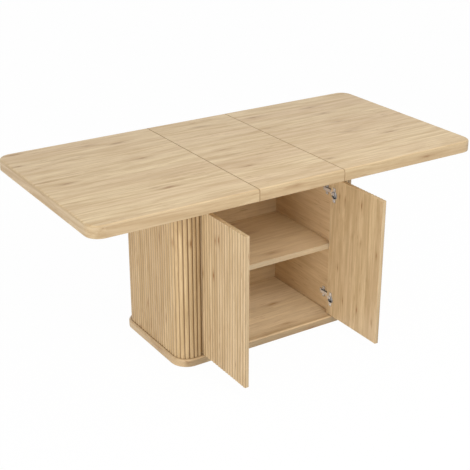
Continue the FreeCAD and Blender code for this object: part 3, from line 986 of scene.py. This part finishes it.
@dataclass(frozen=True)
class Metal:
    """Worked metal with faint scuffs.

    Attributes:
        name: The material's name.
        colour: Colour of the metal or its coat.
        dull: Colour that scuffs turn to.
        metallic: How far it shines as bare metal does, with zero for a painted coat.
        roughness: Roughness of the surface.
        side_painted_shade: Brightness of the faces that look up, down, forwards or back,
        a painted shade and dark reflection.
        scale: Scale of the scuffs.
        cloud: Span of the scuffs' cloud over which it comes to show.
        scratch_share: Strength of the scratches.
        worn_rough: How much rougher scuffs are.
        side_turn: How far a face looks sideways where the painted side shade starts and stops to fade.
        bump_strength: Strength of the scuffs' bump.
        bump_depth: Depth of the scuffs.
    """

    name: str
    colour: Colour
    dull: Colour
    metallic: float
    roughness: float
    side_painted_shade: float = 1.0
    scale: ClassVar[float] = 40.0
    cloud: ClassVar[Span] = (0.45, 0.75)
    scratch_share: ClassVar[float] = 0.6
    worn_rough: ClassVar[float] = 0.16
    side_turn: ClassVar[Span] = (0.45, 0.85)
    bump_strength: ClassVar[float] = 0.10
    bump_depth: ClassVar[float] = 0.2 * MM

    def material(self) -> bpy.types.Material:
        """Build the material.

        Returns:
            The finished material.
        """
        material, graph, shader = new_material(self.name)
        spot = Spot(graph)
        scuffs = graph.group(Effect.SCUFFS, {"Place": spot.place, "Scale": self.scale})
        worn = graph.math("MAXIMUM", graph.ramp(scuffs["Cloud"], *self.cloud),
                          graph.times(scuffs["Scratch"], self.scratch_share))
        colour = graph.mix(worn, self.colour, self.dull)
        # Painted shade and dark reflection on faces that don't look sideways.
        if self.side_painted_shade != 1.0:
            colour = graph.shade(colour, graph.ramp(spot.facing_x, *self.side_turn, self.side_painted_shade, 1.0))
        graph.feed(shader.inputs["Base Color"], colour)
        rough = graph.ramp(worn, 0.0, 1.0, self.roughness, self.roughness + self.worn_rough)
        graph.feed(shader.inputs["Roughness"], rough)
        shader.inputs["Metallic"].default_value = self.metallic
        graph.bump(shader, worn, self.bump_strength, self.bump_depth)
        return material


# The nickel's faces that don't look sideways carry a painted shade and dark reflection.
NICKEL = Metal("Bright nickel", (0.98, 0.98, 0.98, 1.0), (0.80, 0.80, 0.81, 1.0),
               metallic=0.55, roughness=0.15, side_painted_shade=0.10)
ZINC = Metal("Zinc screw", (0.74, 0.74, 0.75, 1.0), (0.56, 0.56, 0.57, 1.0), metallic=0.9, roughness=0.28)
BLACK = Metal("Black steel", (0.035, 0.035, 0.038, 1.0), (0.085, 0.085, 0.09, 1.0),
              metallic=0.0, roughness=0.38)
ALUMINIUM = Metal("Runner aluminium", (0.72, 0.73, 0.74, 1.0), (0.56, 0.57, 0.58, 1.0),
                  metallic=1.0, roughness=0.32)


@dataclass
class Workshop:
    """Dresses the nodes, and makes and fastens new pieces.

    Attributes:
        nodes: The carried-over objects by name.
        metals: Metal materials, each built once.
    """

    nodes: dict[str, bpy.types.Object]
    metals: dict[str, bpy.types.Material] = field(default_factory=dict)

    def dress(self, name: str, material: bpy.types.Material) -> None:
        """Give a carried-over node a finish.

        Args:
            name: The node's name.
            material: The finish.
        """
        item = self.nodes[name]
        if not item.material_slots:
            item.data.materials.append(material)
        for slot in item.material_slots:
            slot.material = material
        log.info("dressed %s in %s", name, material.name)

    def oak(self, name: str, grain: Grain, seed: float, **options: object) -> None:
        """Dress a board in oak.

        Args:
            name: The node's name.
            grain: Direction of its grain.
            seed: Seed of its figure.
            options: Further settings of the laminate.
        """
        low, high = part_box(name)
        laminate = OakLaminate(f"Oak {name}", grain, seed, (tuple(low), tuple(high)), **options)
        self.dress(name, laminate.material())

    def metal(self, finish: Metal) -> bpy.types.Material:
        """Return a metal material, built on first use.

        Args:
            finish: The metal.

        Returns:
            Its material.
        """
        if finish.name not in self.metals:
            self.metals[finish.name] = finish.material()
        return self.metals[finish.name]

    def piece(self, name: str, mesh: bmesh.types.BMesh, body: str, slot: Slot, finish: Metal) -> None:
        """Turn a mesh into a piece that rides on a body.

        Args:
            name: The piece's name.
            mesh: Its mesh, which is freed.
            body: The body that carries it.
            slot: A slot of the record; not used.
            finish: Its metal.
        """
        data = bpy.data.meshes.new(name)
        bmesh.ops.recalc_face_normals(mesh, faces=mesh.faces)
        mesh.to_mesh(data)
        mesh.free()
        for polygon in data.polygons:
            polygon.use_smooth = True
        data.materials.append(self.metal(finish))
        item = bpy.data.objects.new(name, data)
        bpy.context.scene.collection.objects.link(item)
        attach(item, body)
        log.info("made %s on %s", name, body)


@dataclass(frozen=True)
class ScrewHead:
    """Pan head of a cross-recessed screw.

    Attributes:
        radius: Radius of the head.
        height: Height of the head.
        crown: Power of the dome's profile; a higher one makes it flatter.
        arm: Half width of the recess's arms.
        reach_share: How far the arms reach, as a share of the radius.
        recess: Depth of the recess.
        rings: Rings of the head's mesh.
        spokes: Spokes of the head's mesh.
    """

    radius: float = 3.4 * MM
    height: float = 1.5 * MM
    crown: int = 4
    arm: float = 0.55 * MM
    reach_share: float = 0.62
    recess: float = 0.9 * MM
    rings: int = 8
    spokes: int = 24

    def _height_at(self, x: float, y: float) -> float:
        """Return the height of the head above its seat at one place.

        Args:
            x: Place across the head.
            y: Place along the head.

        Returns:
            The height.
        """
        share = min(1.0, math.hypot(x, y) / self.radius)
        dome = self.height * math.sqrt(max(0.0, 1.0 - share ** self.crown))
        if min(abs(x), abs(y)) < self.arm and share < self.reach_share:
            return dome - self.recess * math.sqrt(1.0 - share / self.reach_share)
        return dome

    def add_to(self, mesh: bmesh.types.BMesh, seat: Point, facing: Point, turn: float) -> None:
        """Add the head to a mesh.

        Args:
            mesh: The mesh to add to.
            seat: Middle of the surface that the head sits on.
            facing: Direction that the head faces.
            turn: Turn of the recess in radians.
        """
        tilt = Vector(facing).to_track_quat("Z", "Y").to_matrix().to_4x4()
        matrix = Matrix.Translation(seat) @ tilt @ Matrix.Rotation(turn, 4, "Z")
        rows = []
        for ring in range(1, self.rings + 1):
            radius = self.radius * ring / self.rings
            rows.append([])
            for spoke in range(self.spokes):
                angle = 2.0 * math.pi * spoke / self.spokes
                x, y = radius * math.cos(angle), radius * math.sin(angle)
                rows[-1].append(mesh.verts.new(matrix @ Vector((x, y, self._height_at(x, y)))))
        middle = mesh.verts.new(matrix @ Vector((0.0, 0.0, self._height_at(0.0, 0.0))))
        for spoke in range(self.spokes):
            after = (spoke + 1) % self.spokes
            mesh.faces.new((middle, rows[0][spoke], rows[0][after]))
            for inner, outer in zip(rows, rows[1:]):
                mesh.faces.new((inner[spoke], outer[spoke], outer[after], inner[after]))


@dataclass
class Top:
    """The two halves and the leaf, with their runners, tongues and battens.

    Attributes:
        shop: The workshop that dresses them.
        seeds: Seed of each board's figure.
    """

    shop: Workshop
    seeds: dict[str, float] = field(
        default_factory=lambda: {"top_left": 1.3, "leaf": 4.1, "top_right": 9.2})

    def build(self) -> None:
        """Dress the boards and the metal under them."""
        _, leaf_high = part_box("leaf")
        half_low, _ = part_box("top_right")
        seam = Seam(middle=(leaf_high[0] + half_low[0]) / 2)
        for name, seed in self.seeds.items():
            # Painted shade on the edge band and on faces that look forwards or back; pale arrises are
            # partly wear, partly a painted highlight.
            self.shop.oak(name, Grain.ALONG, seed, tone=TOP_TONE, banded=True, band_shade=0.81, cut=seam,
                          front_shade=0.82, front_from=0.35, edge_wear=0.20)
        for name in self.shop.nodes:
            if name.endswith("_runner"):
                self.shop.dress(name, self.shop.metal(ALUMINIUM))
            elif name.endswith(("_tongue", "_rail")):
                self.shop.dress(name, self.shop.metal(BLACK))
            elif name.endswith("_batten"):
                self.shop.oak(name, Grain.ACROSS, 2.2, tone=CORE_TONE, roughness=0.6)


@dataclass
class Pedestal:
    """The fluted cabinet with its boards and doors.

    Attributes:
        shop: The workshop that dresses them.
        corner: Radius of the shells' corners.
        beyond: Half width of the doors' outline, far past their edges, so that only their fronts count.
        floor_inset: How far the painted light on the cabinet's floor stays inside the side panels.
        floor_front: Distance from the plinth's front at which the painted light on the floor starts.
        floor_full: Distance from the plinth's front at which the painted light is at its full strength.
    """

    shop: Workshop
    corner: float = 60.0 * MM
    beyond: float = 2.0
    floor_inset: float = 8.0 * MM
    floor_front: float = 1.0 * MM
    floor_full: float = 69.0 * MM

    def build(self) -> None:
        """Dress the outside, the inside and the boards above and below."""
        low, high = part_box("right_fluted_shell")
        around = Outline(high[0], high[1], self.corner)
        self._outside(around)
        self._inside()
        self._ends(around, doorway=low[0])

    def _outside(self, around: Outline) -> None:
        """Dress the shells, the back, the doors and the apron.

        Args:
            around: Outline of the shells.
        """
        grooves = Fluting(around, start=0.42)
        for name, seed in (("left_fluted_shell", 11.0), ("right_fluted_shell", 12.6),
                           ("fluted_back_panel", 14.9)):
            # Painted shade on the shells' faces that look forwards or back, and in their grooves.
            self.shop.oak(name, Grain.UPRIGHT, seed, cut=grooves, front_shade=0.80)
        _, door_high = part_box("right_door")
        grooves = Fluting(Outline(door_high[0], self.beyond, radius=0.0), start=0.56)
        for name, seed in (("left_door", 16.4), ("right_door", 18.2)):
            # Painted shade on the doors' faces that look forwards or back at rest, and in their grooves.
            self.shop.oak(name, Grain.UPRIGHT, seed, tone=DOOR_TONE, cut=grooves, front_shade=0.72)
        self.shop.oak("door_apron", Grain.ALONG, 35.2)

    def _inside(self) -> None:
        """Dress the boards inside the cabinet and the shells."""
        for name, seed in (("left_side_panel", 21.3), ("right_side_panel", 23.9)):
            self.shop.oak(name, Grain.ACROSS, seed, tone=INSIDE_TONE)
        for name, seed in (("cabinet_back", 25.1), ("cabinet_top", 41.1)):
            self.shop.oak(name, Grain.ALONG, seed, tone=INSIDE_TONE)
        # Painted shade on the shelf's faces that look forwards or back.
        self.shop.oak("shelf", Grain.ALONG, 37.8, tone=SHELF_TONE, front_shade=0.68)
        for name in self.shop.nodes:
            if name.endswith("_former"):
                self.shop.oak(name, Grain.ACROSS, 6.1, tone=CORE_TONE, roughness=0.65)

    def _ends(self, around: Outline, doorway: float) -> None:
        """Dress the plinth and the cap board.

        Args:
            around: Outline of the shells.
            doorway: Half width between the shells.
        """
        low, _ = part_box("plinth")
        depth = (low[1] + self.floor_front, low[1] + self.floor_full)
        floor = CabinetFloorPaintedLight(doorway - self.floor_inset, depth)
        # Painted shade on the plinth's faces that look forwards or back, a painted shadow line at the
        # shells' foot, painted light on the cabinet's floor.
        self.shop.oak("plinth", Grain.ALONG, 31.0, tone=FOOT_TONE, banded=True, front_shade=0.64,
                      cut=FootShadowLine(around, doorway), floor=floor)
        self.shop.oak("cap_board", Grain.ALONG, 33.3, tone=FOOT_TONE, banded=True)


@dataclass
class Fittings:
    """Hinges and shelf pins, with the screws that hold them.

    Attributes:
        shop: The workshop that makes and dresses them.
        flange_screw: Distance of a screw from the middle of a hinge cup's flange.
        flange_half: Half the length of that flange.
        flange_turns: Turns of the two screws' recesses, in radians.
        plate_screw: Distance of a screw from the middle of a mounting plate.
        plate_share: Place of the screws on the plate, as a share of its depth from the front.
        plate_turns: Turns of the two screws' recesses, in radians.
    """

    shop: Workshop
    flange_screw: float = 24.0 * MM
    flange_half: float = 31.0 * MM
    flange_turns: Span = (0.6, 0.2)
    plate_screw: float = 17.0 * MM
    plate_share: float = 0.42
    plate_turns: Span = (0.3, 1.0)

    def build(self) -> None:
        """Dress the metal fittings and screw them down."""
        for name in self.shop.nodes:
            if "hinge" in name:
                self.shop.dress(name, self.shop.metal(NICKEL))
            elif name.endswith("_pins"):
                self.shop.dress(name, self.shop.metal(ZINC))
        for side, inward in (("left", 1.0), ("right", -1.0)):
            self._plate_screws(side, inward)
            self._cup_screws(side, inward)

    @staticmethod
    def _pair(mesh: bmesh.types.BMesh, middle: Point, inward: float, step: float, turns: Span) -> None:
        """Add a screw head below and above a place on an upright face.

        Args:
            mesh: The mesh to add to.
            middle: Middle between the two screws.
            inward: Direction that the face looks.
            step: Distance of each screw from the middle.
            turns: Turns of their recesses.
        """
        x, y, z = middle
        for height, turn in zip((z - step, z + step), turns):
            ScrewHead().add_to(mesh, (x, y, height), (inward, 0.0, 0.0), turn)

    def _plate_screws(self, side: str, inward: float) -> None:
        """Screw the mounting plates to a side panel.

        Args:
            side: Left or right.
            inward: Direction from the panel into the cabinet.
        """
        mesh = bmesh.new()
        for level in ("lower", "upper"):
            low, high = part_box(f"{side}_{level}_hinge_plate")
            face = high[0] if inward > 0 else low[0]
            place = low[1] + (high[1] - low[1]) * self.plate_share
            middle = (low[2] + high[2]) / 2
            self._pair(mesh, (face, place, middle), inward, self.plate_screw, self.plate_turns)
        self.shop.piece(f"{side}_plate_screws", mesh, "pedestal", Slot.SCREW, ZINC)

    def _cup_screws(self, side: str, inward: float) -> None:
        """Screw the hinge cups to a door.

        Args:
            side: Left or right.
            inward: Direction that the door's inner face looks at rest.
        """
        mesh = bmesh.new()
        low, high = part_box(f"{side}_hinge_cups")
        face = high[0] if inward > 0 else low[0]
        place = (low[1] + high[1]) / 2
        for middle in (low[2] + self.flange_half, high[2] - self.flange_half):
            self._pair(mesh, (face, place, middle), inward, self.flange_screw, self.flange_turns)
        self.shop.piece(f"{side}_cup_screws", mesh, f"{side}_door", Slot.SCREW, ZINC)


@dataclass(frozen=True)
class Lamp:
    """One square lamp.

    Attributes:
        name: Its name.
        place: Where it hangs.
        width: Its width in metres.
        power: Its power in watts.
        target: What it points at.
    """

    name: str
    place: Point
    width: float
    power: float
    target: Point = (0.1, -0.2, 0.4)

    def hang(self) -> None:
        """Hang the lamp in the scene."""
        light = bpy.data.lights.new(self.name, "AREA")
        light.size = self.width
        light.energy = self.power
        lamp = bpy.data.objects.new(self.name, light)
        lamp.location = self.place
        lamp.rotation_euler = (Vector(self.target) - Vector(self.place)).to_track_quat("-Z", "Y").to_euler()
        bpy.context.scene.collection.objects.link(lamp)


WHITE = (1.0, 1.0, 1.0, 1.0)


@dataclass
class Studio:
    """Camera, lights, world and floor.

    Attributes:
        position: Where the camera stands.
        pitch: How far it looks down, in degrees.
        yaw: How far it looks to the right of straight back, in degrees.
        focal_pixels: Its focal length in pixels of the photograph.
        image_pixels: Width of the photograph in pixels.
        sensor: Width of the camera's sensor in millimetres.
        clip: How far the camera sees, in metres.
        lamps: The lamps.
        sky: Brightness of the even light from all round.
        floor_half: Half the floor's width in metres.
        floor_drop: How far the floor lies under the table.
        floor_pale: Colour of the floor where light falls on it.
        floor_glow: Share of the floor's look that is plain white.
    """

    position: Point = (-2.1479, -3.3223, 2.1046)
    pitch: float = 23.501
    yaw: float = 32.594
    focal_pixels: float = 1056.6
    image_pixels: float = 470.0
    sensor: float = 36.0
    clip: float = 100.0
    lamps: tuple[Lamp, ...] = (Lamp("Key", (0.2, -2.7, 2.4), width=1.4, power=48.0),
                               Lamp("Fill", (-6.5, -5.0, 1.3), width=2.6, power=250.0))
    sky: float = 0.66
    floor_half: float = 12.0
    floor_drop: float = 0.6 * MM
    floor_pale: Colour = (0.95, 0.95, 0.95, 1.0)
    floor_glow: float = 0.975

    def build(self) -> None:
        """Set up the whole studio."""
        self._camera()
        self._world()
        self._floor()
        for lamp in self.lamps:
            lamp.hang()

    def _camera(self) -> None:
        """Place the camera at the photograph's viewpoint."""
        lens = bpy.data.cameras.new("Camera")
        lens.sensor_fit = "HORIZONTAL"
        lens.sensor_width = self.sensor
        lens.lens = self.focal_pixels / self.image_pixels * self.sensor
        lens.clip_end = self.clip
        camera = bpy.data.objects.new("Camera", lens)
        camera.location = self.position
        camera.rotation_euler = (math.radians(90.0 - self.pitch), 0.0, math.radians(-self.yaw))
        bpy.context.scene.collection.objects.link(camera)
        bpy.context.scene.camera = camera

    def _world(self) -> None:
        """Light the object evenly and show the camera a white background."""
        world = bpy.data.worlds.new("World")
        world.use_nodes = True
        graph = Graph(world.node_tree)
        path = graph.add("ShaderNodeLightPath").outputs
        seen = graph.math("MAXIMUM", path["Is Glossy Ray"], path["Is Transmission Ray"])
        seen = graph.math("MAXIMUM", path["Is Camera Ray"], seen)
        background = graph.add("ShaderNodeBackground")
        background.inputs["Color"].default_value = WHITE
        graph.feed(background.inputs["Strength"], graph.ramp(seen, 0.0, 1.0, self.sky, 1.0))
        output = graph.add("ShaderNodeOutputWorld")
        graph.feed(output.inputs[0], background.outputs[0])
        bpy.context.scene.world = world

    def _floor(self) -> None:
        """Lay a pale floor that keeps the table's shadow."""
        mesh = bpy.data.meshes.new("Floor")
        corners = [(x * self.floor_half, y * self.floor_half, -self.floor_drop)
                   for x, y in ((-1, -1), (1, -1), (1, 1), (-1, 1))]
        mesh.from_pydata(corners, [], [(0, 1, 2, 3)])
        floor = bpy.data.objects.new("Floor", mesh)
        bpy.context.scene.collection.objects.link(floor)
        material = bpy.data.materials.new("Pale floor")
        material.use_nodes = True
        graph = Graph(material.node_tree)
        path = graph.add("ShaderNodeLightPath").outputs
        seen = graph.math("MAXIMUM", path["Is Camera Ray"], path["Is Glossy Ray"])
        matt = graph.add("ShaderNodeBsdfDiffuse")
        matt.inputs["Color"].default_value = self.floor_pale
        glow = graph.add("ShaderNodeEmission")
        glow.inputs["Color"].default_value = WHITE
        glow.inputs["Strength"].default_value = 1.0
        blend = graph.add("ShaderNodeMixShader")
        graph.feed(blend.inputs[0], graph.times(seen, self.floor_glow))
        graph.feed(blend.inputs[1], matt.outputs[0])
        graph.feed(blend.inputs[2], glow.outputs[0])
        output = graph.add("ShaderNodeOutputMaterial")
        graph.feed(output.inputs["Surface"], blend.outputs[0])
        mesh.materials.append(material)


def main() -> None:
    """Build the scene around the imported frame."""
    logging.basicConfig(level=logging.INFO, format="%(message)s")
    bpy.ops.wm.read_factory_settings(use_empty=True)
    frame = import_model()
    bpy.context.scene.view_settings.view_transform = "Standard"
    Studio().build()
    shop = Workshop(frame["nodes"])
    Top(shop).build()
    Pedestal(shop).build()
    Fittings(shop).build()


if __name__ == "__main__":
    main()
